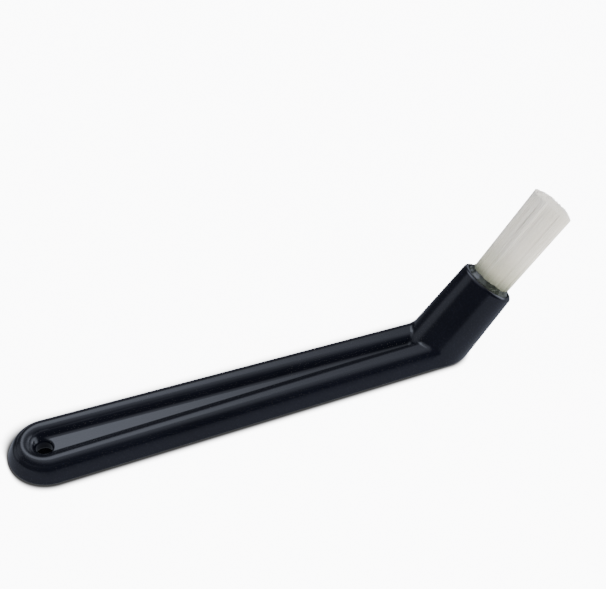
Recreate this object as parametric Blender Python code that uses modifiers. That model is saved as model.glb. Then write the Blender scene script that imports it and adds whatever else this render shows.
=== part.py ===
"""Group head brush: a bent one-piece plastic handle with a bundle of bristles bonded into its angled head.

Metres, +Z up. The handle lies on its flat underside along X, with its round tail towards -X and its head
leaning up towards +X. The origin is on the underside, on the centre line, half way from the tail to the elbow.
"""

import math

import bmesh
import bpy
from mathutils import Matrix, Vector

# Handle
HANDLE_LENGTH = 0.120  # tail to elbow, along the underside
HANDLE_HEIGHT = 0.0047  # underside to the top of the rims
TAIL_WIDTH = 0.0181  # across the underside at the round tail, before its edge is rounded
SIDE_LEAN = 0.0022  # how far each side leans in on its way up
FOOT_ROUNDING = 0.0002
RIM_OUTER_ROUNDING = 0.0011
RIM_INNER_ROUNDING = 0.0010

# Trough between the rims
TROUGH_TAIL_WIDTH = 0.0079  # from rim to rim at their inner edges, where the tail's round end begins
TROUGH_NECK_WIDTH = 0.0040  # the same at the head
FLOOR_THICKNESS = 0.0030
TROUGH_WALL_LEAN = 0.0009
TROUGH_FILLET = 0.0013

# Hanging hole in the tail end of the trough
HANGING_HOLE_DIAMETER = 0.0042
HANGING_HOLE_CHAMFER = 0.0004
HANGING_HOLE_FROM_TAIL = 0.0083  # end of the tail to the middle of the hole

# Head
HEAD_ANGLE = math.radians(56)  # between the underside and the head's axis
HEAD_UNDERSIDE_LENGTH = 0.017  # elbow to mouth, along the head's lower side
HEAD_ROOT_DIAMETER = 0.0157
HEAD_MOUTH_DIAMETER = 0.0144
NECK_TUCK = 0.00005  # how far each side of the handle runs inside the head's root
LIP_ROUNDING = 0.0007
SOCKET_DEPTH = 0.0092
SOCKET_CHAMFER = 0.0002

# Bundle of bristles
BUNDLE_DIAMETER = 0.0106  # where it leaves the mouth
BUNDLE_TIP_DIAMETER = 0.0117
BRISTLE_LENGTH = 0.0253  # mouth to tips, at the bundle's edge
STRAND_RINGS = 11
STRAND_THICKNESS = 0.00030  # across the corners of a four-sided strand
STRAND_ROOT_OVERLAP = 0.0004
ROOT_LENGTH = 0.0060
TRIM_CROWN = 0.0005  # how much further the middle bristles reach
TRIM_UNEVENNESS = 0.0002

# Cured resin that holds the bundle's root in the socket
ADHESIVE_WALL = 0.0003
ADHESIVE_FLOOR = 0.0012
ADHESIVE_RECESS = 0.0003  # its top lies this far below the mouth
SEAT_GAP = 0.0003  # between two pieces that touch

# Smoothness
TAIL_SEGMENTS = 36
NECK_SEGMENTS = 12
FILLET_SEGMENTS = 5
ROUND_SEGMENTS = 72
HOLE_SEGMENTS = 40
STRAND_SIDES = 4
SHARP_ANGLE = math.radians(32)
MERGE_DISTANCE = 0.000001
CUTTER_MARGIN = 0.0005

# Sizes that follow from those above
TAIL_RADIUS = TAIL_WIDTH / 2
NECK_RADIUS = HEAD_ROOT_DIAMETER / 2 - NECK_TUCK
TAIL_RIM_WIDTH = TAIL_RADIUS - SIDE_LEAN - TROUGH_TAIL_WIDTH / 2
NECK_RIM_WIDTH = NECK_RADIUS - SIDE_LEAN - TROUGH_NECK_WIDTH / 2
TAIL_X = -HANDLE_LENGTH / 2
ELBOW_X = HANDLE_LENGTH / 2
TAIL_CENTRE_X = TAIL_X + TAIL_RADIUS
HANGING_HOLE_X = TAIL_X + HANGING_HOLE_FROM_TAIL
ROOT_CENTRE_X = ELBOW_X - HEAD_ROOT_DIAMETER / 2 / math.sin(HEAD_ANGLE)
HEAD_ROOT_RADIUS = HEAD_ROOT_DIAMETER / 2
HEAD_MOUTH_RADIUS = HEAD_MOUTH_DIAMETER / 2
BUNDLE_RADIUS = BUNDLE_DIAMETER / 2
BUNDLE_TIP_RADIUS = BUNDLE_TIP_DIAMETER / 2
ADHESIVE_BORE_RADIUS = BUNDLE_RADIUS + SEAT_GAP
ADHESIVE_RADIUS = ADHESIVE_BORE_RADIUS + ADHESIVE_WALL
SOCKET_RADIUS = ADHESIVE_RADIUS + SEAT_GAP
ADHESIVE_BOTTOM = -SOCKET_DEPTH + SEAT_GAP
ROOT_BOTTOM = ADHESIVE_BOTTOM + ADHESIVE_FLOOR + SEAT_GAP
ROOT_TOP = ROOT_BOTTOM + ROOT_LENGTH
HEAD_DIRECTION = Vector((math.cos(HEAD_ANGLE), 0.0, math.sin(HEAD_ANGLE)))
HEAD_UPWARD = Vector((-math.sin(HEAD_ANGLE), 0.0, math.cos(HEAD_ANGLE)))
ELBOW = Vector((ELBOW_X, 0.0, 0.0))
MOUTH_CENTRE = ELBOW + HEAD_ROOT_RADIUS * HEAD_UPWARD + HEAD_UNDERSIDE_LENGTH * HEAD_DIRECTION
HEAD_TAPER = (HEAD_ROOT_RADIUS - HEAD_MOUTH_RADIUS) / HEAD_UNDERSIDE_LENGTH
# The head's blank runs on below the underside, until its whole end has passed the plane z = 0.
BLANK_DEPTH = HEAD_UNDERSIDE_LENGTH + HEAD_ROOT_DIAMETER / math.tan(HEAD_ANGLE) + 2 * CUTTER_MARGIN


def clear_scene():
    """Empties the scene of objects."""
    for item in list(bpy.data.objects):
        bpy.data.objects.remove(item, do_unlink=True)


def new_collection(name):
    """Adds a collection to the scene."""
    collection = bpy.data.collections.new(name)
    bpy.context.scene.collection.children.link(collection)
    return collection


def new_material(name, color, roughness, coat=0.0):
    """Makes a Principled material with a plain color."""
    material = bpy.data.materials.new(name)
    material.use_nodes = True
    shader = material.node_tree.nodes["Principled BSDF"]
    shader.inputs["Base Color"].default_value = (*color, 1.0)
    shader.inputs["Roughness"].default_value = roughness
    shader.inputs["Metallic"].default_value = 0.0
    shader.inputs["Coat Weight"].default_value = coat
    material.diffuse_color = (*color, 1.0)
    return material


def add_object(name, bm, collection, material=None, parent=None):
    """Turns a bmesh into a named object with smooth round faces."""
    mesh = bpy.data.meshes.new(name)
    bm.to_mesh(mesh)
    bm.free()
    mesh.shade_smooth()
    mesh.set_sharp_from_angle(angle=SHARP_ANGLE)
    if material:
        mesh.materials.append(material)
    item = bpy.data.objects.new(name, mesh)
    item.parent = parent
    collection.objects.link(item)
    return item


def as_cutter(item):
    """Marks an object as a shape that only cuts or joins others."""
    item.hide_render = True
    item.display_type = "WIRE"
    return item


def add_boolean(item, other, operation):
    """Joins or cuts an object with another one."""
    modifier = item.modifiers.new(other.name, "BOOLEAN")
    modifier.operation = operation
    modifier.object = other
    modifier.solver = "EXACT"


def round_corner(before, corner, after, radius):
    """Points of the arc that rounds one corner of an outline in a plane."""
    before, corner, after = Vector(before), Vector(corner), Vector(after)
    back = (before - corner).normalized()
    ahead = (after - corner).normalized()
    half_angle = back.angle(ahead) / 2
    centre = corner + (back + ahead).normalized() * (radius / math.sin(half_angle))
    reach = radius / math.tan(half_angle)
    start = corner + back * reach - centre
    sweep = (corner + ahead * reach - centre).angle_signed(start)
    points = []
    for step in range(FILLET_SEGMENTS + 1):
        turn = sweep * step / FILLET_SEGMENTS
        points.append(centre + Matrix.Rotation(turn, 2) @ start)
    return points


def rim_section(rim_width):
    """The handle's section from the underside over the rim to the trough's floor.

    Each point is how far it lies inside the outline of the underside, and its height.
    """
    rim_end = SIDE_LEAN + rim_width
    floor_start = rim_end + TROUGH_WALL_LEAN
    corners = [
        (rim_end, 0.0),
        (0.0, 0.0),
        (SIDE_LEAN, HANDLE_HEIGHT),
        (rim_end, HANDLE_HEIGHT),
        (floor_start, FLOOR_THICKNESS),
        (floor_start + rim_width, FLOOR_THICKNESS),
    ]
    radii = [FOOT_ROUNDING, RIM_OUTER_ROUNDING, RIM_INNER_ROUNDING, TROUGH_FILLET]
    section = []
    for index, radius in enumerate(radii, start=1):
        section += round_corner(corners[index - 1], corners[index], corners[index + 1], radius)
    return section


def handle_ring(tail_inset, neck_inset, height):
    """One level of the handle: a long outline with a round end at the tail and at the neck."""
    ends = [
        (TAIL_CENTRE_X, TAIL_RADIUS - tail_inset, 0.5, TAIL_SEGMENTS),
        (ROOT_CENTRE_X, NECK_RADIUS - neck_inset, -0.5, NECK_SEGMENTS),
    ]
    ring = []
    for centre_x, radius, first_turn, segments in ends:
        for step in range(segments + 1):
            turn = math.pi * (first_turn + step / segments)
            ring.append((centre_x + radius * math.cos(turn), radius * math.sin(turn), height))
    return ring


def build_handle_bar(collection, material):
    """The bar with its flared sides, rims and trough, lofted through its levels."""
    bm = bmesh.new()
    levels = []
    for (tail_inset, height), (neck_inset, _) in zip(rim_section(TAIL_RIM_WIDTH), rim_section(NECK_RIM_WIDTH)):
        levels.append([bm.verts.new(place) for place in handle_ring(tail_inset, neck_inset, height)])
    for lower, upper in zip(levels, levels[1:]):
        for index in range(len(lower)):
            follower = (index + 1) % len(lower)
            bm.faces.new((lower[index], lower[follower], upper[follower], upper[index]))
    bm.faces.new(levels[0])
    bm.faces.new(levels[-1])
    bmesh.ops.recalc_face_normals(bm, faces=bm.faces)
    return add_object("handle", bm, collection, material)


def add_turned(name, profile, segments, collection, material=None, parent=None):
    """A solid turned about Z from a profile of radius and height that runs down its outer side."""
    bm = bmesh.new()
    points = [bm.verts.new((radius, 0.0, height)) for radius, height in profile]
    for first, second in zip(points, points[1:]):
        bm.edges.new((first, second))
    item = add_object(name, bm, collection, material, parent)
    turning = item.modifiers.new("turning", "SCREW")
    turning.axis = "Z"
    turning.steps = segments
    turning.render_steps = segments
    turning.use_merge_vertices = True
    turning.merge_threshold = MERGE_DISTANCE
    turning.use_smooth_shade = True
    return item


def build_head_frame(collection):
    """An empty in the middle of the mouth, with its Z along the head's axis."""
    frame = bpy.data.objects.new("head_frame", None)
    frame.location = MOUTH_CENTRE
    frame.rotation_euler = (0.0, math.pi / 2 - HEAD_ANGLE, 0.0)
    collection.objects.link(frame)
    return frame


def build_head_blank(collection, frame):
    """The turned head with its lip and blind socket, running on below the underside."""
    lip = round_corner(
        (SOCKET_RADIUS, 0.0),
        (HEAD_MOUTH_RADIUS, 0.0),
        (HEAD_MOUTH_RADIUS + HEAD_TAPER * BLANK_DEPTH, -BLANK_DEPTH),
        LIP_ROUNDING,
    )
    profile = [
        (0.0, -SOCKET_DEPTH),
        (SOCKET_RADIUS, -SOCKET_DEPTH),
        (SOCKET_RADIUS, -SOCKET_CHAMFER),
        (SOCKET_RADIUS + SOCKET_CHAMFER, 0.0),
    ]
    profile += [tuple(point) for point in lip]
    profile += [
        (HEAD_MOUTH_RADIUS + HEAD_TAPER * BLANK_DEPTH, -BLANK_DEPTH),
        (0.0, -BLANK_DEPTH),
    ]
    return as_cutter(add_turned("head_blank", profile, ROUND_SEGMENTS, collection, parent=frame))


def build_ground_cutter(collection):
    """A block under the plane that the brush lies on, to trim the head's blank."""
    bm = bmesh.new()
    size = 3 * BLANK_DEPTH
    place = Matrix.Translation((ROOT_CENTRE_X, 0.0, -size / 2)) @ Matrix.Diagonal((size, size, size, 1.0))
    bmesh.ops.create_cube(bm, size=1.0, matrix=place)
    return as_cutter(add_object("ground_cutter", bm, collection))


def build_hanging_hole_cutter(collection):
    """A pin with a chamfer at the trough's floor and at the underside."""
    radius = HANGING_HOLE_DIAMETER / 2
    wide = radius + HANGING_HOLE_CHAMFER + CUTTER_MARGIN
    profile = [
        (0.0, FLOOR_THICKNESS + CUTTER_MARGIN),
        (wide, FLOOR_THICKNESS + CUTTER_MARGIN),
        (radius, FLOOR_THICKNESS - HANGING_HOLE_CHAMFER),
        (radius, HANGING_HOLE_CHAMFER),
        (wide, -CUTTER_MARGIN),
        (0.0, -CUTTER_MARGIN),
    ]
    cutter = as_cutter(add_turned("hanging_hole_cutter", profile, HOLE_SEGMENTS, collection))
    cutter.location = (HANGING_HOLE_X, 0.0, 0.0)
    return cutter


def build_handle(parts, cutters, frame, material):
    """The whole moulding: bar, head and socket in one, with the hanging hole through its tail."""
    handle = build_handle_bar(parts, material)
    head = build_head_blank(cutters, frame)
    add_boolean(head, build_ground_cutter(cutters), "DIFFERENCE")
    add_boolean(handle, head, "UNION")
    add_boolean(handle, build_hanging_hole_cutter(cutters), "DIFFERENCE")
    return handle


def build_adhesive(parts, frame, material):
    """A thin cup of resin that lines the socket around and under the bundle's root."""
    profile = [
        (0.0, ADHESIVE_BOTTOM + ADHESIVE_FLOOR),
        (ADHESIVE_BORE_RADIUS, ADHESIVE_BOTTOM + ADHESIVE_FLOOR),
        (ADHESIVE_BORE_RADIUS, -ADHESIVE_RECESS),
        (ADHESIVE_RADIUS, -ADHESIVE_RECESS),
        (ADHESIVE_RADIUS, ADHESIVE_BOTTOM),
        (0.0, ADHESIVE_BOTTOM),
    ]
    return add_turned("socket_adhesive", profile, ROUND_SEGMENTS, parts, material, frame)


def strand_places():
    """Where each strand crosses the mouth, in rings around one in the middle."""
    places = [(0.0, 0.0)]
    outermost = BUNDLE_RADIUS - STRAND_THICKNESS
    for ring in range(1, STRAND_RINGS + 1):
        radius = outermost * ring / STRAND_RINGS
        count = 6 * ring
        for index in range(count):
            turn = 2 * math.pi * (index + 0.5 * (ring % 2)) / count
            places.append((radius * math.cos(turn), radius * math.sin(turn)))
    return places


def strand_at(place, height):
    """A strand's point at a height over the mouth: the bundle spreads evenly towards its tips."""
    spread = 1.0 + (BUNDLE_TIP_RADIUS / BUNDLE_RADIUS - 1.0) * height / BRISTLE_LENGTH
    return Vector((place[0] * spread, place[1] * spread, height))


def strand_tip_height(index, place):
    """A strand's cut height: a low crown over the bundle, and a slight unevenness from strand to strand."""
    inwards = 1.0 - (place[0] ** 2 + place[1] ** 2) / BUNDLE_RADIUS**2
    golden = (index * (math.sqrt(5.0) - 1.0) / 2) % 1.0
    return BRISTLE_LENGTH + TRIM_CROWN * inwards - TRIM_UNEVENNESS * golden


def build_strands(cutters, frame):
    """All the strands as four-sided rods, each leaning outwards a little."""
    bm = bmesh.new()
    for index, place in enumerate(strand_places()):
        base = strand_at(place, ROOT_TOP - STRAND_ROOT_OVERLAP)
        tip = strand_at(place, strand_tip_height(index, place))
        along = tip - base
        placing = Matrix.Translation((base + tip) / 2) @ along.to_track_quat("Z", "Y").to_matrix().to_4x4()
        bmesh.ops.create_cone(
            bm,
            cap_ends=True,
            segments=STRAND_SIDES,
            radius1=STRAND_THICKNESS / 2,
            radius2=STRAND_THICKNESS / 2,
            depth=along.length,
            matrix=placing,
        )
    return as_cutter(add_object("strands", bm, cutters, parent=frame))


def build_bristle_tuft(parts, cutters, frame, material):
    """The bundle: its bonded root as one slice, with every strand growing out of it."""
    bm = bmesh.new()
    bmesh.ops.create_cone(
        bm,
        cap_ends=True,
        segments=ROUND_SEGMENTS,
        radius1=BUNDLE_RADIUS,
        radius2=BUNDLE_RADIUS,
        depth=ROOT_LENGTH,
        matrix=Matrix.Translation((0.0, 0.0, (ROOT_BOTTOM + ROOT_TOP) / 2)),
    )
    tuft = add_object("bristle_tuft", bm, parts, material, frame)
    add_boolean(tuft, build_strands(cutters, frame), "UNION")
    return tuft


def main():
    clear_scene()
    parts = new_collection("group_head_brush")
    cutters = new_collection("cutters")
    black_plastic = new_material("gloss_black_plastic", (0.006, 0.007, 0.011), 0.12, 0.3)
    nylon = new_material("off_white_nylon", (0.70, 0.68, 0.60), 0.45)
    resin = new_material("cured_resin", (0.10, 0.10, 0.09), 0.15)
    frame = build_head_frame(parts)
    build_handle(parts, cutters, frame, black_plastic)
    build_adhesive(parts, frame, resin)
    build_bristle_tuft(parts, cutters, frame, nylon)


main()
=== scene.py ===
"""Looks of the group head brush: a glossy black moulding, a bundle of pale nylon and its resin bead."""
import math

import bpy
import numpy as np
from mathutils import Matrix, Vector


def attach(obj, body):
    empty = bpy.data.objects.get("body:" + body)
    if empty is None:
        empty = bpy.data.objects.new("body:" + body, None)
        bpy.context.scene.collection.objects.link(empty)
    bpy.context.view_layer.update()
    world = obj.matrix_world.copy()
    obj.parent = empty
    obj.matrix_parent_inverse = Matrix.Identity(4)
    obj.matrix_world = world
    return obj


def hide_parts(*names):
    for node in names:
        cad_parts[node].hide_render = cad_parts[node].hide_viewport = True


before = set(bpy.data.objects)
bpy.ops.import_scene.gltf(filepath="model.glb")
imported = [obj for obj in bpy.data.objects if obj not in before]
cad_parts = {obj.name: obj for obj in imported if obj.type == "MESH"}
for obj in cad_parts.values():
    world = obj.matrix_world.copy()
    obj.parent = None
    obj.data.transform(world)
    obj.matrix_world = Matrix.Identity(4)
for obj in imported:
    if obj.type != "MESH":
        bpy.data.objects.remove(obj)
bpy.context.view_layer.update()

MM = 0.001

# Sizes of the moulding, in millimetres, on the same origin as the solids
TAIL_RADIUS, TAIL_CENTRE_X = 9.05, -50.95
NECK_RADIUS, NECK_CENTRE_X = 7.80, 50.53
RIM_HEIGHT, SIDE_LEAN = 4.9, 2.2
TAIL_RIM_WIDTH, NECK_RIM_WIDTH, TAIL_END_NARROWING = 3.2, 4.2, 0.9
FLOOR_HEIGHT, TROUGH_WALL_LEAN = 3.0, 1.2
RIM_OUTER_ROUNDING, RIM_INNER_ROUNDING, TROUGH_FILLET, FOOT_ROUNDING = 1.3, 0.9, 0.6, 0.5
TAIL_RIM_CROWN, NECK_RIM_CROWN, TAIL_END_CROWN, SIDE_CROWN = 0.28, 0.05, 0.30, 0.12
HOLE_X, HOLE_RADIUS, HOLE_LIP = -51.75, 1.85, 0.75
HEAD_ANGLE = math.radians(56)
ELBOW_X, HEAD_LENGTH = 60.0, 17.0
HEAD_ROOT_RADIUS, MOUTH_RADIUS, LIP_ROUNDING = 7.85, 7.20, 0.85
SOCKET_RADIUS, SOCKET_DEPTH, SOCKET_EDGE = 6.2, 9.2, 0.12

# How full the hollow fillets are where the head meets the bar, and how far off the middle the side one begins
TOP_BLEND, SIDE_BLEND, LEAST_BLEND = 1.0, 4.0, 0.15
SIDE_BLEND_START, SIDE_BLEND_RUN = 5.4, 1.8

# How fast the fillets grow above the head's axis, and what is left of them at the axis
BLEND_RISE, BLEND_AT_AXIS, LEAST_REACH = 3.0, 0.2, 0.5

# Grid that the skin of the moulding is drawn from, in millimetres
FINE_STEP, QUICK_STEP, STRAIGHT_STEP = 0.21, 0.42, 2.0
GRID_START, STRAIGHT_START, STRAIGHT_END, GRID_END = -61.0, -41.0, 33.0, 83.5
GRID_HALF_WIDTH, GRID_BOTTOM, GRID_TOP = 9.3, -0.55, 23.6
SETTLING_ROUNDS, LEAST_SLOPE, LARGEST_MOVE = 8, 0.2, 0.3

# Sizes of the bundle, along the head's axis from the mouth
BUNDLE_RADIUS, TIP_RADIUS = 5.28, 5.83
BRISTLE_LENGTH, TIP_CROWN = 25.2, 0.5
TIP_TRIM, TIP_TRIM_TURN = 0.75, math.radians(-120.0)
STRAND_RADIUS, ROOT_HEIGHT, STRAY_MARGIN = 0.100, -2.4, 0.06
STRAND_LEAN, STRAND_BOW, LENGTH_UNEVENNESS = 0.045, 0.025, 0.13
CLUMP_SPREAD, CLUMP_SHORTENING = 0.12, 0.10

# How the strands are set and drawn, with thickness and stations as shares of the whole
STRAND_SEED = 7
STRAND_PITCH, STRAND_SHAKE = 0.213, 0.12
STRAND_SIDES, STRAND_TURN = 4, 0.4
THINNEST_STRAND, THICKEST_STRAND = 0.92, 1.1
STRAND_STATIONS = (0.0, 0.12, 0.3, 0.5, 0.7, 0.88, 1.0)
LEAST_DISTANCE = 0.01

# The parting: its place and width round the bundle, its middle and length along a strand, and how far out
PARTING_TURN, PARTING_WIDTH, PARTING_DEPTH = math.radians(96.0), 0.16, 0.19
PARTING_MIDDLE, PARTING_LENGTH = 0.8, 0.17
PARTING_START, PARTING_RUN = 0.55, 0.3

# Half section of the resin: distances from the axis and heights over the mouth
RESIN_OUTLINE = (
    (5.9, -8.9), (6.17, -8.6), (6.17, -0.60), (6.13, -0.38), (6.04, -0.16),
    (5.92, 0.04), (5.79, 0.22), (5.66, 0.40), (5.54, 0.60), (5.44, 0.82),
    (5.37, 1.02), (5.30, 1.10), (5.20, 0.98), (5.0, 0.2), (4.8, -1.2),
)
RESIN_SEGMENTS = 180
BEAD_START, BEAD_RUN, BEAD_INSIDE, BEAD_OUTSIDE = -0.6, 0.9, 4.9, 6.1
BEAD_RIPPLE, BEAD_LIFT = 0.05, 0.26

# The floor, in metres: the painted shade under the bar, and how far the painted soft shadow beside the bar
# reaches
FLOOR_REACH, FLOOR_DROP = 6.0, 0.00005
PAINTED_SHADE_ACROSS, PAINTED_SHADE_AT_NECK, PAINTED_SHADE_AT_TAIL = (0.0062, 0.0052), (0.052, 0.050), (-0.0575, -0.0565)
SHADE_AT_ENDS, SHADE_IN_FRONT, SHADE_BEHIND = 0.0008, 0.0021, 0.0040

# The floor as the camera sees it: its glow, the least glow at the bar where the painted shadow is deepest,
# and the share of plain board
FLOOR_GLOW, LEAST_GLOW, BOARD_SHARE = 20.0, 0.003, 0.5

# The floor as the gloss sees it: dimmer towards the back and under the bar, brighter beyond the head
MIRROR_FADE, MIRROR_FRONT, MIRROR_BACK, MIRROR_UNDER_BAR = (-0.03, 0.06), 0.64, 0.10, 0.6
CORNER_ALONG, CORNER_ACROSS, CORNER_LIFT = (0.10, 0.16), (0.03, 0.10), 0.7

# The studio: where light comes from, how near that direction it begins and is full, and how strong it is
STUDIO_LIGHTS = (
    # Softbox behind the brush
    ((-0.05, 0.62, 0.78), 0.90, 0.985, 2.2),
    # Glow overhead
    ((0.0, 0.35, 0.94), 0.55, 0.98, 1.05),
    # Window at the left
    ((-0.775, 0.589, 0.223), 0.93, 0.985, 0.62),
    # Lights at the right
    ((0.95, -0.10, 0.30), 0.86, 0.96, 2.6),
    ((0.86, 0.48, 0.08), 0.84, 0.97, 1.1),
)
LEFT_GLOW = ((-1.0, 0.1, 0.3), -0.2, 1.0, 0.08)
BASE_LIGHT, BACKGROUND_LIGHT = 0.085, 10.8
SOFTBOX_TARGET, SOFTBOX_COLOR = (0.03, 0.0, 0.01), (1.0, 0.98, 0.94)

# The camera, in metres, degrees and millimetres
CAMERA_PLACE = (-0.084084, -0.171640, 0.208050)
CAMERA_TURN = (47.6199, -4.4909, -24.7298)
CAMERA_LENS, CAMERA_SENSOR = 68.722, 36.0

AXIS = np.array([math.cos(HEAD_ANGLE), 0.0, math.sin(HEAD_ANGLE)])
ACROSS = np.array([-math.sin(HEAD_ANGLE), 0.0, math.cos(HEAD_ANGLE)])
MOUTH = np.array([ELBOW_X, 0.0, 0.0]) + HEAD_ROOT_RADIUS * ACROSS + HEAD_LENGTH * AXIS


def joined(a, b, radius):
    """Two forms joined with a hollow fillet."""
    hollow = np.hypot(np.maximum(radius - a, 0.0), np.maximum(radius - b, 0.0))
    return np.maximum(radius, np.minimum(a, b)) - hollow


def trimmed(a, b, radius):
    """What two forms share, with a round edge."""
    rounded = np.hypot(np.maximum(radius + a, 0.0), np.maximum(radius + b, 0.0))
    return np.minimum(-radius, np.maximum(a, b)) + rounded


def inset_from_outline(x, y):
    """How far a point lies inside the long outline of the underside."""
    run = NECK_CENTRE_X - TAIL_CENTRE_X
    slope = (TAIL_RADIUS - NECK_RADIUS) / run
    rise = math.sqrt(1.0 - slope * slope)
    along, off = x - TAIL_CENTRE_X, np.abs(y)
    station = rise * along - slope * off
    side = TAIL_RADIUS - (rise * off + slope * along)
    tail = TAIL_RADIUS - np.hypot(along, off)
    neck = NECK_RADIUS - np.hypot(along - run, off)
    return np.where(station < 0.0, tail, np.where(station > rise * run, neck, side))


def bar_form(x, y, z):
    """The bar with flared sides, crowned rims that widen towards the head, and the trough between them."""
    inset = inset_from_outline(x, y)
    side_length = math.hypot(SIDE_LEAN, RIM_HEIGHT)
    level = np.clip(z / RIM_HEIGHT, 0.0, 1.0)
    side = (SIDE_LEAN * z - RIM_HEIGHT * inset) / side_length - SIDE_CROWN * 4.0 * level * (1.0 - level)
    forward = np.clip((x - TAIL_CENTRE_X) / (NECK_CENTRE_X - TAIL_CENTRE_X), 0.0, 1.0)
    rim_width = TAIL_RIM_WIDTH + (NECK_RIM_WIDTH - TAIL_RIM_WIDTH) * forward
    round_end = np.clip((TAIL_CENTRE_X - x) / TAIL_RADIUS, 0.0, 1.0)
    rim_width = rim_width - TAIL_END_NARROWING * round_end
    crown = TAIL_RIM_CROWN + (NECK_RIM_CROWN - TAIL_RIM_CROWN) * forward + TAIL_END_CROWN * round_end
    off_middle = np.clip((inset - SIDE_LEAN) / rim_width * 2.0 - 1.0, -1.0, 1.0)
    bar = trimmed(side, z - RIM_HEIGHT + crown * off_middle**2, RIM_OUTER_ROUNDING)
    drop = RIM_HEIGHT - FLOOR_HEIGHT
    wall_length = math.hypot(drop, TROUGH_WALL_LEAN)
    wall = -((inset - SIDE_LEAN - rim_width) * drop + (z - RIM_HEIGHT) * TROUGH_WALL_LEAN) / wall_length
    trough = trimmed(wall, FLOOR_HEIGHT - z, TROUGH_FILLET)
    return trimmed(bar, -trough, RIM_INNER_ROUNDING)


def head_form(x, y, z):
    """The tapered head with its rolled lip, and how far a point lies above, out of and along its axis."""
    height = (x - MOUTH[0]) * AXIS[0] + (z - MOUTH[2]) * AXIS[2]
    above = (x - MOUTH[0]) * ACROSS[0] + (z - MOUTH[2]) * ACROSS[2]
    out = np.hypot(above, y)
    taper = (HEAD_ROOT_RADIUS - MOUTH_RADIUS) / HEAD_LENGTH
    side = (out - MOUTH_RADIUS + taper * height) / math.hypot(1.0, taper)
    return trimmed(side, height, LIP_ROUNDING), above, out, height


def root_fillet(y, above, out):
    """Radius of the fillet between head and bar: large where they meet squarely, small where they align."""
    reach = np.maximum(out, LEAST_REACH)
    facing_up = above / reach * ACROSS[2]
    side_length = math.hypot(SIDE_LEAN, RIM_HEIGHT)
    facing_side = np.abs(y) / reach * (RIM_HEIGHT / side_length) + facing_up * (SIDE_LEAN / side_length)
    share = np.clip((np.abs(y) - SIDE_BLEND_START) / SIDE_BLEND_RUN, 0.0, 1.0)
    share = share * share * (3.0 - 2.0 * share)
    radius = (1.0 - share) * TOP_BLEND * (1.0 - facing_up) + share * SIDE_BLEND * (1.0 - facing_side)
    return LEAST_BLEND + radius * np.clip(above / reach * BLEND_RISE + BLEND_AT_AXIS, 0.0, 1.0)


def handle_form(points):
    """Signed distance to the skin of the whole moulding, below zero inside."""
    x, y, z = points[:, 0], points[:, 1], points[:, 2]
    head, above, out, height = head_form(x, y, z)
    form = joined(bar_form(x, y, z), head, root_fillet(y, above, out))
    form = trimmed(form, -z, FOOT_ROUNDING)
    socket = np.maximum(out - SOCKET_RADIUS, -SOCKET_DEPTH - height)
    form = trimmed(form, -socket, SOCKET_EDGE)
    hole = np.hypot(x - HOLE_X, y) - HOLE_RADIUS
    return trimmed(form, -hole, HOLE_LIP)


def slopes(form, points, reach=0.004):
    """Outward directions of a form at some points."""
    result = np.empty_like(points)
    for axis in range(3):
        step = np.zeros(3)
        step[axis] = reach
        result[:, axis] = (form(points + step) - form(points - step)) / (2.0 * reach)
    return result


def skin_of(form, xs, ys, zs):
    """Closed quad skin of a form, with its corners settled onto the form and their outward directions."""
    grid = np.empty((len(xs), len(ys), len(zs)), bool)
    sheet_y, sheet_z = np.meshgrid(ys, zs, indexing="ij")
    for index, x in enumerate(xs):
        sheet = np.stack([np.full(sheet_y.size, x), sheet_y.ravel(), sheet_z.ravel()], 1)
        grid[index] = (form(sheet) < 0.0).reshape(sheet_y.shape)
    count = sum(
        grid[i : len(xs) - 1 + i, j : len(ys) - 1 + j, k : len(zs) - 1 + k].astype(int)
        for i in (0, 1)
        for j in (0, 1)
        for k in (0, 1)
    )
    mixed = (count > 0) & (count < 8)
    number = np.full(mixed.shape, -1)
    number[mixed] = np.arange(mixed.sum())
    cells = np.argwhere(mixed)
    middles = [(line[1:] + line[:-1]) / 2 for line in (xs, ys, zs)]
    places = np.stack([middles[axis][cells[:, axis]] for axis in range(3)], 1)
    faces = []
    for axis in range(3):
        solid = np.moveaxis(grid, axis, 0)
        cell = np.moveaxis(number, axis, 0)
        crossing = solid[1:, 1:-1, 1:-1] != solid[:-1, 1:-1, 1:-1]
        i, j, k = np.nonzero(crossing)
        ring = np.stack([cell[i, j, k], cell[i, j + 1, k], cell[i, j + 1, k + 1], cell[i, j, k + 1]], 1)
        outward = solid[i, j + 1, k + 1]
        if axis == 1:
            outward = ~outward
        ring[~outward] = ring[~outward][:, ::-1]
        faces.append(ring)
    for _ in range(SETTLING_ROUNDS):
        direction = slopes(form, places)
        size = np.maximum((direction**2).sum(1), LEAST_SLOPE)
        places -= np.clip(form(places) / size, -LARGEST_MOVE, LARGEST_MOVE)[:, None] * direction
    return places, np.concatenate(faces), slopes(form, places)


def piece_from(name, places, faces, material, node, normals=None, matrix=None):
    """Makes a piece of the brush in millimetres, rides it on the body and hides the solid it stands for."""
    mesh = bpy.data.meshes.new(name)
    mesh.from_pydata((np.asarray(places) * MM).tolist(), [], [list(map(int, face)) for face in faces])
    mesh.update()
    mesh.shade_smooth()
    if normals is not None:
        unit = normals / np.linalg.norm(normals, axis=1)[:, None]
        mesh.normals_split_custom_set_from_vertices(unit.tolist())
    mesh.materials.append(material)
    piece = bpy.data.objects.new(name, mesh)
    bpy.context.scene.collection.objects.link(piece)
    if matrix is not None:
        piece.matrix_world = matrix
    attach(piece, "root")
    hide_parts(node)
    return piece


def handle_lines(step):
    """Grid lines along the handle: close at the tail and the head, far apart where the bar runs straight."""
    tail = np.arange(GRID_START, STRAIGHT_START, step)
    straight = np.arange(STRAIGHT_START, STRAIGHT_END, STRAIGHT_STEP)
    head = np.arange(STRAIGHT_END, GRID_END, step)
    return np.concatenate([tail, straight, head])


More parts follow.
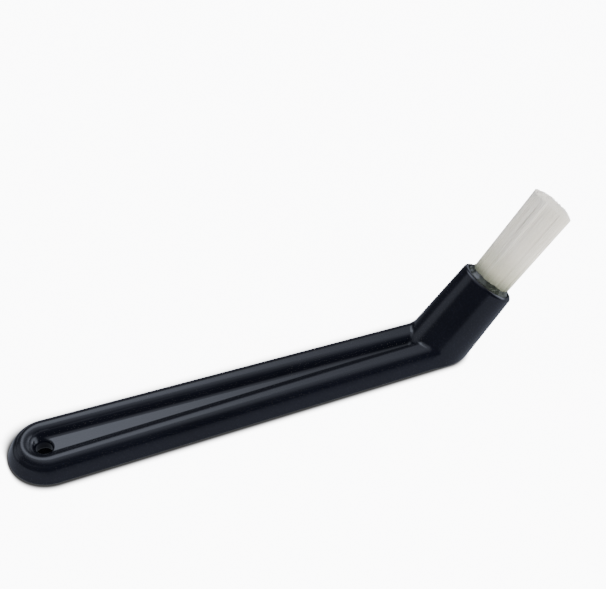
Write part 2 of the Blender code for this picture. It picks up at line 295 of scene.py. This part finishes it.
def make_handle(material):
    """The whole moulding in one skin, blended where the head rises out of the bar."""
    step = FINE_STEP
    ys = np.arange(-GRID_HALF_WIDTH, GRID_HALF_WIDTH + 0.01, step)
    zs = np.arange(GRID_BOTTOM, GRID_TOP, step)
    places, faces, normals = skin_of(handle_form, handle_lines(step), ys, zs)
    piece_from("handle_moulding", places, faces, material, "handle", normals)


def head_matrix():
    """Places a piece in the mouth: Z along the head's axis, X across the handle, Y out of the head's top."""
    matrix = Matrix.Identity(4)
    for row in range(3):
        matrix[row][0] = ACROSS[row]
        matrix[row][1] = (0.0, 1.0, 0.0)[row]
        matrix[row][2] = AXIS[row]
        matrix[row][3] = MOUTH[row] * MM
    # X and Y change places so that the frame stays right-handed
    flip = Matrix(((0, 1, 0, 0), (1, 0, 0, 0), (0, 0, 1, 0), (0, 0, 0, 1)))
    return matrix @ flip


def packed_disc(pitch, radius, rng):
    """Close-packed places over a round, slightly shaken."""
    reach = int(radius / pitch) + 2
    places = []
    for row in range(-reach, reach + 1):
        for column in range(-reach, reach + 1):
            x = pitch * (column + 0.5 * (row % 2))
            y = pitch * row * math.sqrt(3) / 2
            if math.hypot(x, y) < radius:
                places.append((x, y))
    places = np.array(places)
    return places + rng.normal(0.0, pitch * STRAND_SHAKE, places.shape)


def strand_paths(rng):
    """Centre lines of the strands: a packed root that opens slowly, with clumps and one parting."""
    roots = packed_disc(STRAND_PITCH, BUNDLE_RADIUS - STRAND_RADIUS, rng)
    far = np.hypot(roots[:, 0], roots[:, 1])
    roots *= np.minimum(1.0, (BUNDLE_RADIUS - STRAND_RADIUS) / np.maximum(far, LEAST_DISTANCE))[:, None]
    out = np.hypot(roots[:, 0], roots[:, 1]) / BUNDLE_RADIUS
    count = len(roots)
    turns = np.arctan2(roots[:, 1], roots[:, 0])
    clump = 0.5 * np.sin(5 * turns + 1.0) + 0.3 * np.sin(9 * turns + 2.2) + 0.2 * np.sin(17 * turns + 0.4)
    lean = rng.normal(0.0, STRAND_LEAN, (count, 2))
    bow = rng.normal(0.0, STRAND_BOW, (count, 2))
    length = BRISTLE_LENGTH + TIP_CROWN * (1.0 - out**2) + rng.normal(0.0, LENGTH_UNEVENNESS, count)
    length -= CLUMP_SHORTENING * clump
    length -= TIP_TRIM * out**3 * np.clip(np.cos(turns - TIP_TRIM_TURN), 0.0, 1.0)
    paths = np.empty((count, len(STRAND_STATIONS), 3))
    spread = TIP_RADIUS / BUNDLE_RADIUS - 1.0
    sideways = np.stack([-np.sin(turns), np.cos(turns)], 1)
    gap = (turns - PARTING_TURN + math.pi) % (2 * math.pi) - math.pi
    outer = np.clip((out - PARTING_START) / PARTING_RUN, 0.0, 1.0)
    pushed = np.sign(gap) * np.exp(-((gap / PARTING_WIDTH) ** 2)) * outer
    for index, station in enumerate(STRAND_STATIONS):
        height = ROOT_HEIGHT + (length - ROOT_HEIGHT) * station
        free = np.clip(height / BRISTLE_LENGTH, 0.0, 1.0)
        flat = roots * (1.0 + spread * free * (1.0 + CLUMP_SPREAD * clump))[:, None]
        flat += lean * (free**1.5)[:, None] + bow * (free * (1.0 - free) * 2.0)[:, None]
        slit = PARTING_DEPTH * math.exp(-(((station - PARTING_MIDDLE) / PARTING_LENGTH) ** 2))
        flat += sideways * (pushed * slit)[:, None]
        limit = (BUNDLE_RADIUS + (TIP_RADIUS - BUNDLE_RADIUS) * free) - STRAND_RADIUS + STRAY_MARGIN
        far = np.hypot(flat[:, 0], flat[:, 1])
        flat *= np.minimum(1.0, limit / np.maximum(far, LEAST_DISTANCE))[:, None]
        paths[:, index, :2] = flat
        paths[:, index, 2] = height
    return paths


def make_bristles(material):
    """Every strand as a fine rod with a cut end, all in one piece."""
    rng = np.random.default_rng(STRAND_SEED)
    paths = strand_paths(rng)
    count, steps = paths.shape[:2]
    sides = STRAND_SIDES
    angles = 2 * math.pi * (np.arange(sides) / sides) + STRAND_TURN
    ring = STRAND_RADIUS * np.stack([np.cos(angles), np.sin(angles)], 1)
    thick = rng.uniform(THINNEST_STRAND, THICKEST_STRAND, count)
    twist = rng.uniform(0.0, 2 * math.pi, count)
    cos_t, sin_t = np.cos(twist), np.sin(twist)
    turned = np.empty((count, sides, 3))
    turned[:, :, 0] = ring[:, 0] * cos_t[:, None] - ring[:, 1] * sin_t[:, None]
    turned[:, :, 1] = ring[:, 0] * sin_t[:, None] + ring[:, 1] * cos_t[:, None]
    turned[:, :, 2] = 0.0
    turned *= thick[:, None, None]
    places = (paths[:, :, None, :] + turned[:, None, :, :]).reshape(-1, 3)
    first = np.arange(count)[:, None] * steps * sides
    faces = []
    for step in range(steps - 1):
        low = first + step * sides
        for side in range(sides):
            near = (side + 1) % sides
            faces.append(np.hstack([low + side, low + near, low + near + sides, low + side + sides]))
    top = first + (steps - 1) * sides
    faces.append(np.hstack([top + side for side in range(sides)]))
    faces.append(np.hstack([first + side for side in reversed(range(sides))]))
    faces = np.concatenate(faces)
    piece = piece_from(
        "nylon_bristles", places, faces, material, "bristle_tuft", matrix=head_matrix()
    )
    tone = np.repeat(rng.uniform(0.0, 1.0, count), steps * sides)
    piece.data.attributes.new("strand_tone", "FLOAT", "POINT").data.foreach_set("value", tone)


def make_resin(material):
    """The resin that seals the mouth: an uneven bead round the bundle, on a plug down in the socket."""
    places, faces = [], []
    for step in range(RESIN_SEGMENTS):
        turn = 2 * math.pi * step / RESIN_SEGMENTS
        swell = 0.5 * math.sin(3 * turn + 0.6) + 0.3 * math.sin(7 * turn + 2.0)
        swell += 0.2 * math.sin(16 * turn + 4.1)
        for out, height in RESIN_OUTLINE:
            near_top = max(0.0, min(1.0, (height - BEAD_START) / BEAD_RUN)) * (out > BEAD_INSIDE)
            on_bead = near_top * (out < BEAD_OUTSIDE)
            radius = out + BEAD_RIPPLE * on_bead * swell
            lift = height + on_bead * BEAD_LIFT * swell
            places.append((radius * math.cos(turn), radius * math.sin(turn), lift))
    rows = len(RESIN_OUTLINE)
    for step in range(RESIN_SEGMENTS):
        here, there = step * rows, ((step + 1) % RESIN_SEGMENTS) * rows
        for row in range(rows - 1):
            faces.append((here + row, there + row, there + row + 1, here + row + 1))
    faces.append(tuple(step * rows for step in reversed(range(RESIN_SEGMENTS))))
    faces.append(tuple(step * rows + rows - 1 for step in range(RESIN_SEGMENTS)))
    piece_from("resin_bead", places, faces, material, "socket_adhesive", matrix=head_matrix())


def new_group(name, inputs, outputs):
    """An empty shader group with named sockets."""
    group = bpy.data.node_groups.new(name, "ShaderNodeTree")
    for label, kind, value in inputs:
        socket = group.interface.new_socket(name=label, in_out="INPUT", socket_type=kind)
        if value is not None:
            socket.default_value = value
    for label, kind in outputs:
        group.interface.new_socket(name=label, in_out="OUTPUT", socket_type=kind)
    return group, group.nodes.new("NodeGroupInput"), group.nodes.new("NodeGroupOutput")


def add_node(tree, kind, **settings):
    """Adds a node: plain names are its properties, and names that begin with in_ are its sockets."""
    node = tree.nodes.new(kind)
    for key, value in settings.items():
        if key.startswith("in_"):
            label = key[3:]
            socket = node.inputs[int(label)] if label.isdigit() else node.inputs[label.replace("_", " ")]
            if isinstance(value, bpy.types.NodeSocket):
                tree.links.new(value, socket)
            else:
                socket.default_value = value
        else:
            setattr(node, key, value)
    return node


def math_node(tree, operation, first, second=0.0, third=None, clamp=False):
    """One step of arithmetic."""
    node = add_node(tree, "ShaderNodeMath", operation=operation, in_0=first, in_1=second)
    node.use_clamp = clamp
    if third is not None:
        if isinstance(third, bpy.types.NodeSocket):
            tree.links.new(third, node.inputs[2])
        else:
            node.inputs[2].default_value = third
    return node.outputs[0]


def ranged(tree, value, low, high, to_low=0.0, to_high=1.0):
    """Spreads a range of values over another one, softly at both ends."""
    node = add_node(tree, "ShaderNodeMapRange", interpolation_type="SMOOTHSTEP")
    tree.links.new(value, node.inputs["Value"])
    for label, number in (("From Min", low), ("From Max", high), ("To Min", to_low), ("To Max", to_high)):
        node.inputs[label].default_value = number
    return node.outputs["Result"]


def mixed_color(tree, factor, first, second):
    """Mixes two colors."""
    node = add_node(tree, "ShaderNodeMix", data_type="RGBA")
    for socket, value in ((node.inputs[0], factor), (node.inputs[6], first), (node.inputs[7], second)):
        if isinstance(value, bpy.types.NodeSocket):
            tree.links.new(value, socket)
        else:
            socket.default_value = value
    return node.outputs[2]


def surface_flow_group():
    """Slow unevenness of a moulded or cast surface, and its fine skin."""
    group, inside, outside = new_group(
        "surface_flow",
        [("Vector", "NodeSocketVector", None), ("Flow Scale", "NodeSocketFloat", 60.0),
         ("Skin Scale", "NodeSocketFloat", 900.0), ("Skin Share", "NodeSocketFloat", 0.3)],
        [("Cloud", "NodeSocketFloat"), ("Height", "NodeSocketFloat")],
    )
    where = inside.outputs["Vector"]
    flow = add_node(group, "ShaderNodeTexNoise", in_Vector=where, in_Scale=inside.outputs["Flow Scale"],
                    in_Detail=3.0, in_Roughness=0.5, in_Distortion=0.4)
    skin = add_node(group, "ShaderNodeTexNoise", in_Vector=where, in_Scale=inside.outputs["Skin Scale"],
                    in_Detail=2.0, in_Roughness=0.5)
    share = math_node(group, "MULTIPLY", skin.outputs["Fac"], inside.outputs["Skin Share"])
    group.links.new(ranged(group, flow.outputs["Fac"], 0.25, 0.75), outside.inputs["Cloud"])
    group.links.new(math_node(group, "ADD", flow.outputs["Fac"], share), outside.inputs["Height"])
    return group


def edge_wear_group():
    """Where handling has rubbed the proud edges."""
    group, inside, outside = new_group(
        "edge_wear",
        [("Vector", "NodeSocketVector", None), ("Break Scale", "NodeSocketFloat", 300.0),
         ("Start", "NodeSocketFloat", 0.52)],
        [("Mask", "NodeSocketFloat")],
    )
    geometry = add_node(group, "ShaderNodeNewGeometry")
    above = math_node(group, "SUBTRACT", geometry.outputs["Pointiness"], inside.outputs["Start"])
    proud = math_node(group, "MULTIPLY", above, 9.0, clamp=True)
    breaks = add_node(group, "ShaderNodeTexNoise", in_Vector=inside.outputs["Vector"],
                      in_Scale=inside.outputs["Break Scale"], in_Detail=5.0, in_Roughness=0.65)
    broken = ranged(group, breaks.outputs["Fac"], 0.42, 0.68)
    group.links.new(math_node(group, "MULTIPLY", proud, broken, clamp=True), outside.inputs["Mask"])
    return group


def settled_dust_group():
    """Fine specks that settle on what faces up."""
    group, inside, outside = new_group(
        "settled_dust",
        [("Vector", "NodeSocketVector", None), ("Speck Scale", "NodeSocketFloat", 1400.0),
         ("Amount", "NodeSocketFloat", 0.5)],
        [("Mask", "NodeSocketFloat")],
    )
    where = inside.outputs["Vector"]
    geometry = add_node(group, "ShaderNodeNewGeometry")
    parts = add_node(group, "ShaderNodeSeparateXYZ", in_Vector=geometry.outputs["Normal"])
    upward = ranged(group, parts.outputs["Z"], 0.15, 0.95)
    specks = add_node(group, "ShaderNodeTexVoronoi", in_Vector=where, in_Scale=inside.outputs["Speck Scale"])
    small = ranged(group, specks.outputs["Distance"], 0.16, 0.06)
    drift = add_node(group, "ShaderNodeTexNoise", in_Vector=where, in_Scale=180.0, in_Detail=4.0)
    patch = ranged(group, drift.outputs["Fac"], 0.50, 0.72)
    amount = math_node(group, "MULTIPLY", upward, inside.outputs["Amount"])
    dusty = math_node(group, "MULTIPLY", math_node(group, "MULTIPLY", small, patch), amount, clamp=True)
    group.links.new(dusty, outside.inputs["Mask"])
    return group


def new_material(name):
    """A material with its Principled shader and the piece's own coordinates."""
    material = bpy.data.materials.new(name)
    material.use_nodes = True
    tree = material.node_tree
    shader = tree.nodes["Principled BSDF"]
    where = add_node(tree, "ShaderNodeTexCoord").outputs["Object"]
    return material, tree, shader, where


def use_group(tree, group, **values):
    """Places a group in a material with its own values."""
    node = tree.nodes.new("ShaderNodeGroup")
    node.node_tree = group
    for key, value in values.items():
        socket = node.inputs[key.replace("_", " ")]
        if isinstance(value, bpy.types.NodeSocket):
            tree.links.new(value, socket)
        else:
            socket.default_value = value
    return node


def polished_black_plastic(flow, wear, dust):
    """Blue-black moulded plastic: polished, with a soft skin, hairlines along it and a little dust."""
    material, tree, shader, where = new_material("polished_black_plastic")
    skin = use_group(tree, flow, Vector=where, Flow_Scale=70.0, Skin_Scale=1100.0, Skin_Share=0.10)
    edges = use_group(tree, wear, Vector=where, Break_Scale=420.0, Start=0.53)
    specks = use_group(tree, dust, Vector=where, Speck_Scale=1500.0, Amount=0.22)
    drawn = add_node(tree, "ShaderNodeMapping", in_Vector=where, in_Scale=(14.0, 900.0, 500.0),
                     in_Rotation=(0.0, 0.0, 0.03))
    hair = add_node(tree, "ShaderNodeTexNoise", in_Vector=drawn.outputs["Vector"], in_Scale=3.0,
                    in_Detail=2.0)
    hairline = ranged(tree, hair.outputs["Fac"], 0.66, 0.74)
    # The tops of the rims are a little duller, less so towards the neck
    parts = add_node(tree, "ShaderNodeSeparateXYZ", in_Vector=where)
    handled = ranged(tree, parts.outputs["Z"], 0.0038, 0.0046)
    handled = math_node(tree, "MULTIPLY", handled, ranged(tree, parts.outputs["X"], 0.050, 0.030))
    dark, light = (0.0010, 0.0012, 0.0028, 1.0), (0.0016, 0.0019, 0.0042, 1.0)
    body = mixed_color(tree, skin.outputs["Cloud"], dark, light)
    rubbed = mixed_color(tree, edges.outputs["Mask"], body, (0.022, 0.023, 0.028, 1.0))
    dusted = mixed_color(tree, specks.outputs["Mask"], rubbed, (0.16, 0.15, 0.14, 1.0))
    tree.links.new(dusted, shader.inputs["Base Color"])
    rough = math_node(tree, "MULTIPLY_ADD", skin.outputs["Cloud"], 0.035, 0.165)
    rough = math_node(tree, "MULTIPLY_ADD", hairline, 0.05, rough)
    rough = math_node(tree, "MULTIPLY_ADD", handled, 0.07, rough)
    rough = math_node(tree, "MULTIPLY_ADD", edges.outputs["Mask"], 0.14, rough)
    rough = math_node(tree, "MULTIPLY_ADD", specks.outputs["Mask"], 0.4, rough)
    tree.links.new(rough, shader.inputs["Roughness"])
    shader.inputs["IOR"].default_value = 1.50
    height = math_node(tree, "MULTIPLY_ADD", hairline, -0.12, skin.outputs["Height"])
    bump = add_node(tree, "ShaderNodeBump", in_Height=height, in_Strength=0.10, in_Distance=0.0002)
    tree.links.new(bump.outputs["Normal"], shader.inputs["Normal"])
    return material


def off_white_nylon(flow, dust):
    """Natural nylon: milky, darker and warmer towards the mouth, each strand a shade of its own, stained by
    the resin and darkened by painted shade close to the mouth.
    """
    material, tree, shader, where = new_material("off_white_nylon")
    parts = add_node(tree, "ShaderNodeSeparateXYZ", in_Vector=where)
    strand = add_node(tree, "ShaderNodeAttribute", attribute_name="strand_tone")
    cast = use_group(tree, flow, Vector=where, Flow_Scale=160.0, Skin_Scale=2600.0, Skin_Share=0.4)
    specks = use_group(tree, dust, Vector=where, Speck_Scale=1700.0, Amount=0.15)
    lower = ranged(tree, parts.outputs["Z"], 0.0005, 0.013)
    warm = mixed_color(tree, cast.outputs["Cloud"], (0.50, 0.50, 0.37, 1.0), (0.57, 0.56, 0.42, 1.0))
    cool = mixed_color(tree, cast.outputs["Cloud"], (0.86, 0.82, 0.73, 1.0), (0.89, 0.855, 0.775, 1.0))
    body = mixed_color(tree, lower, warm, cool)
    darker = math_node(tree, "MULTIPLY", strand.outputs["Fac"], 0.16)
    shade = mixed_color(tree, darker, body, (0.58, 0.57, 0.53, 1.0))
    # Close to the mouth the strands darken to a near black green: partly the resin's stain, partly painted
    # shade
    resin_stain_and_shade = math_node(tree, "MULTIPLY", ranged(tree, parts.outputs["Z"], 0.0048, -0.0002), 0.92)
    stained = mixed_color(tree, resin_stain_and_shade, shade, (0.060, 0.075, 0.050, 1.0))
    dusted = mixed_color(tree, specks.outputs["Mask"], stained, (0.30, 0.27, 0.22, 1.0))
    tree.links.new(dusted, shader.inputs["Base Color"])
    rough = math_node(tree, "MULTIPLY_ADD", cast.outputs["Cloud"], 0.12, 0.38)
    tree.links.new(rough, shader.inputs["Roughness"])
    shader.inputs["Sheen Weight"].default_value = 0.15
    shader.inputs["IOR"].default_value = 1.53
    bump = add_node(tree, "ShaderNodeBump", in_Height=cast.outputs["Height"], in_Strength=0.15,
                    in_Distance=0.0001)
    tree.links.new(bump.outputs["Normal"], shader.inputs["Normal"])
    return material


def cured_resin(flow, wear, dust):
    """Dark greenish resin, glossy and uneven, with small bubbles."""
    material, tree, shader, where = new_material("cured_resin")
    cast = use_group(tree, flow, Vector=where, Flow_Scale=420.0, Skin_Scale=1500.0, Skin_Share=0.25)
    edges = use_group(tree, wear, Vector=where, Break_Scale=900.0, Start=0.55)
    specks = use_group(tree, dust, Vector=where, Speck_Scale=2000.0, Amount=0.35)
    bubbles = add_node(tree, "ShaderNodeTexVoronoi", in_Vector=where, in_Scale=2300.0)
    bubble = ranged(tree, bubbles.outputs["Distance"], 0.30, 0.18)
    body = mixed_color(tree, cast.outputs["Cloud"], (0.008, 0.010, 0.008, 1.0), (0.022, 0.026, 0.020, 1.0))
    pale = mixed_color(tree, math_node(tree, "MULTIPLY", bubble, 0.4), body, (0.10, 0.11, 0.09, 1.0))
    rubbed = mixed_color(tree, edges.outputs["Mask"], pale, (0.14, 0.14, 0.12, 1.0))
    dusted = mixed_color(tree, specks.outputs["Mask"], rubbed, (0.25, 0.24, 0.22, 1.0))
    tree.links.new(dusted, shader.inputs["Base Color"])
    rough = math_node(tree, "MULTIPLY_ADD", cast.outputs["Cloud"], 0.10, 0.10)
    tree.links.new(rough, shader.inputs["Roughness"])
    shader.inputs["IOR"].default_value = 1.54
    height = math_node(tree, "MULTIPLY_ADD", bubble, -0.25, cast.outputs["Height"])
    bump = add_node(tree, "ShaderNodeBump", in_Height=height, in_Strength=0.35, in_Distance=0.0003)
    tree.links.new(bump.outputs["Normal"], shader.inputs["Normal"])
    return material


def under_the_bar(tree, x, off_middle):
    """Where the floor is painted in shade: one where the bar covers the floor, and none beside it."""
    painted_shade_under_bar = ranged(tree, off_middle, *PAINTED_SHADE_ACROSS)
    painted_shade_under_bar = math_node(tree, "MULTIPLY", painted_shade_under_bar, ranged(tree, x, *PAINTED_SHADE_AT_NECK))
    return math_node(tree, "MULTIPLY", painted_shade_under_bar, ranged(tree, x, *PAINTED_SHADE_AT_TAIL))


def beside_the_bar(tree, x, y, off_middle):
    """Painted soft shadow round the bar: none at the outline of the bar and one on the open floor, softly,
    and furthest behind the bar.
    """
    past_tail = math_node(tree, "MAXIMUM", x, TAIL_CENTRE_X * MM)
    on_middle = math_node(tree, "MINIMUM", past_tail, NECK_CENTRE_X * MM)
    along = math_node(tree, "SUBTRACT", x, on_middle)
    squared = math_node(tree, "POWER", along, 2.0)
    squared = math_node(tree, "ADD", squared, math_node(tree, "POWER", off_middle, 2.0))
    away = math_node(tree, "SQRT", squared)
    taper = (TAIL_RADIUS - NECK_RADIUS) / (NECK_CENTRE_X - TAIL_CENTRE_X)
    widest = (TAIL_RADIUS + taper * TAIL_CENTRE_X) * MM
    half_width = math_node(tree, "MULTIPLY_ADD", on_middle, -taper, widest)
    toward_front = math_node(tree, "DIVIDE", math_node(tree, "MULTIPLY", y, -1.0), away)
    front = ranged(tree, toward_front, 0.0, 0.9, SHADE_AT_ENDS, SHADE_IN_FRONT)
    back = ranged(tree, toward_front, -0.1, -0.9, SHADE_AT_ENDS, SHADE_BEHIND)
    reach = math_node(tree, "MAXIMUM", front, back)
    clear = math_node(tree, "SUBTRACT", away, half_width)
    return ranged(tree, math_node(tree, "DIVIDE", clear, reach), -0.08, 1.0)


def pale_floor_finish():
    """Matt white board that glows for the camera, with painted shade under and painted shadow beside the bar,
    and is dimmer in gloss.
    """
    material, tree, shader, where = new_material("pale_floor")
    grain = add_node(tree, "ShaderNodeTexNoise", in_Vector=where, in_Scale=40.0, in_Detail=3.0)
    shade = mixed_color(tree, grain.outputs["Fac"], (0.900, 0.897, 0.915, 1.0), (0.912, 0.910, 0.926, 1.0))
    parts = add_node(tree, "ShaderNodeSeparateXYZ", in_Vector=where)
    x, y = parts.outputs["X"], parts.outputs["Y"]
    off_middle = math_node(tree, "ABSOLUTE", y)
    painted_shade_under_bar = under_the_bar(tree, x, off_middle)
    beside = beside_the_bar(tree, x, y, off_middle)
    # Under the bar the board is painted near black: painted shade, also seen through the hole
    tree.links.new(mixed_color(tree, painted_shade_under_bar, shade, (0.008, 0.008, 0.01, 1.0)), shader.inputs["Base Color"])
    shader.inputs["Roughness"].default_value = 0.9
    shader.inputs["Specular IOR Level"].default_value = 0.1
    ray = add_node(tree, "ShaderNodeLightPath")
    # What the camera sees: the glow, with painted shadow beside the bar and none of it under the bar
    glow_with_painted_shadow = math_node(tree, "ADD", math_node(tree, "POWER", beside, 2.0), LEAST_GLOW)
    uncovered = math_node(tree, "SUBTRACT", 1.0, painted_shade_under_bar)
    glow = add_node(tree, "ShaderNodeEmission", in_Color=(0.99, 0.99, 1.0, 1.0))
    tree.links.new(math_node(tree, "MULTIPLY", glow_with_painted_shadow, FLOOR_GLOW), glow.inputs["Strength"])
    share = math_node(tree, "MULTIPLY_ADD", beside, -BOARD_SHARE, 1.0)
    share = math_node(tree, "MULTIPLY", ray.outputs["Is Camera Ray"], share)
    share = math_node(tree, "MULTIPLY", share, uncovered)
    lit = add_node(tree, "ShaderNodeMixShader", in_0=share, in_1=shader.outputs[0], in_2=glow.outputs[0])
    # What the gloss of the brush shows
    mirrored = add_node(tree, "ShaderNodeEmission", in_Color=(0.76, 0.82, 1.0, 1.0))
    seen = ranged(tree, y, *MIRROR_FADE, MIRROR_FRONT, MIRROR_BACK)
    corner = math_node(tree, "MULTIPLY", ranged(tree, x, *CORNER_ALONG), ranged(tree, y, *CORNER_ACROSS))
    seen = math_node(tree, "MULTIPLY_ADD", corner, CORNER_LIFT, seen)
    seen = math_node(tree, "MULTIPLY", seen, math_node(tree, "MULTIPLY_ADD", painted_shade_under_bar, -MIRROR_UNDER_BAR, 1.0))
    tree.links.new(seen, mirrored.inputs["Strength"])
    both = add_node(tree, "ShaderNodeMixShader", in_0=ray.outputs["Is Glossy Ray"], in_1=lit.outputs[0],
                    in_2=mirrored.outputs[0])
    tree.links.new(both.outputs[0], tree.nodes["Material Output"].inputs["Surface"])
    return material


def make_floor(material):
    """A wide pale floor under the brush."""
    mesh = bpy.data.meshes.new("pale_floor")
    corners = [(x * FLOOR_REACH, y * FLOOR_REACH, 0) for x, y in ((-1, -1), (1, -1), (1, 1), (-1, 1))]
    mesh.from_pydata(corners, [], [(0, 1, 2, 3)])
    mesh.materials.append(material)
    floor = bpy.data.objects.new("pale_floor", mesh)
    floor.location = (0.0, 0.0, -FLOOR_DROP)
    bpy.context.scene.collection.objects.link(floor)


def light_patch(tree, direction, toward, low, high, strength):
    """Light from one part of the surroundings, fading out around its middle."""
    along = add_node(tree, "ShaderNodeVectorMath", operation="DOT_PRODUCT", in_0=direction)
    along.inputs[1].default_value = Vector(toward).normalized()
    return ranged(tree, along.outputs["Value"], low, high, 0.0, strength)


def make_surroundings():
    """A dim studio, lit softly from behind, above and both sides, with an even pale backdrop."""
    world = bpy.data.worlds.new("studio")
    world.use_nodes = True
    tree = world.node_tree
    tree.nodes.clear()
    direction = add_node(tree, "ShaderNodeTexCoord").outputs["Generated"]
    strength = light_patch(tree, direction, *LEFT_GLOW)
    for toward, low, high, power in STUDIO_LIGHTS:
        strength = math_node(tree, "ADD", strength, light_patch(tree, direction, toward, low, high, power))
    strength = math_node(tree, "ADD", strength, BASE_LIGHT)
    light = add_node(tree, "ShaderNodeBackground", in_Color=(0.79, 0.85, 1.0, 1.0), in_Strength=strength)
    seen = add_node(tree, "ShaderNodeBackground", in_Color=(0.99, 0.99, 1.0, 1.0),
                    in_Strength=BACKGROUND_LIGHT)
    ray = add_node(tree, "ShaderNodeLightPath")
    both = add_node(tree, "ShaderNodeMixShader", in_0=ray.outputs["Is Camera Ray"], in_1=light.outputs[0],
                    in_2=seen.outputs[0])
    out = add_node(tree, "ShaderNodeOutputWorld")
    tree.links.new(both.outputs[0], out.inputs["Surface"])
    bpy.context.scene.world = world


def add_softbox(name, place, size, power):
    """A square warm light that faces the brush and stays out of its reflections."""
    light = bpy.data.lights.new(name, "AREA")
    light.shape = "SQUARE"
    light.size = size
    light.energy = power
    light.color = SOFTBOX_COLOR
    lamp = bpy.data.objects.new(name, light)
    lamp.location = place
    lamp.rotation_euler = (Vector(SOFTBOX_TARGET) - Vector(place)).to_track_quat("-Z", "Y").to_euler()
    lamp.visible_glossy = False
    bpy.context.scene.collection.objects.link(lamp)


def make_camera():
    """The camera at the photograph's viewing angle."""
    data = bpy.data.cameras.new("camera")
    data.lens = CAMERA_LENS
    data.sensor_width = CAMERA_SENSOR
    data.clip_start = 0.01
    camera = bpy.data.objects.new("camera", data)
    camera.location = CAMERA_PLACE
    camera.rotation_euler = tuple(math.radians(angle) for angle in CAMERA_TURN)
    bpy.context.scene.collection.objects.link(camera)
    bpy.context.scene.camera = camera


def main():
    """Builds the camera, the three pieces of the brush and the studio round them."""
    flow, wear, dust = surface_flow_group(), edge_wear_group(), settled_dust_group()
    make_camera()
    make_handle(polished_black_plastic(flow, wear, dust))
    make_bristles(off_white_nylon(flow, dust))
    make_resin(cured_resin(flow, wear, dust))
    make_floor(pale_floor_finish())
    make_surroundings()
    add_softbox("front_softbox", place=(0.35, -1.00, 0.50), size=0.8, power=32.0)
    add_softbox("left_softbox", place=(-0.85, 0.45, 0.55), size=0.7, power=13.0)


main()
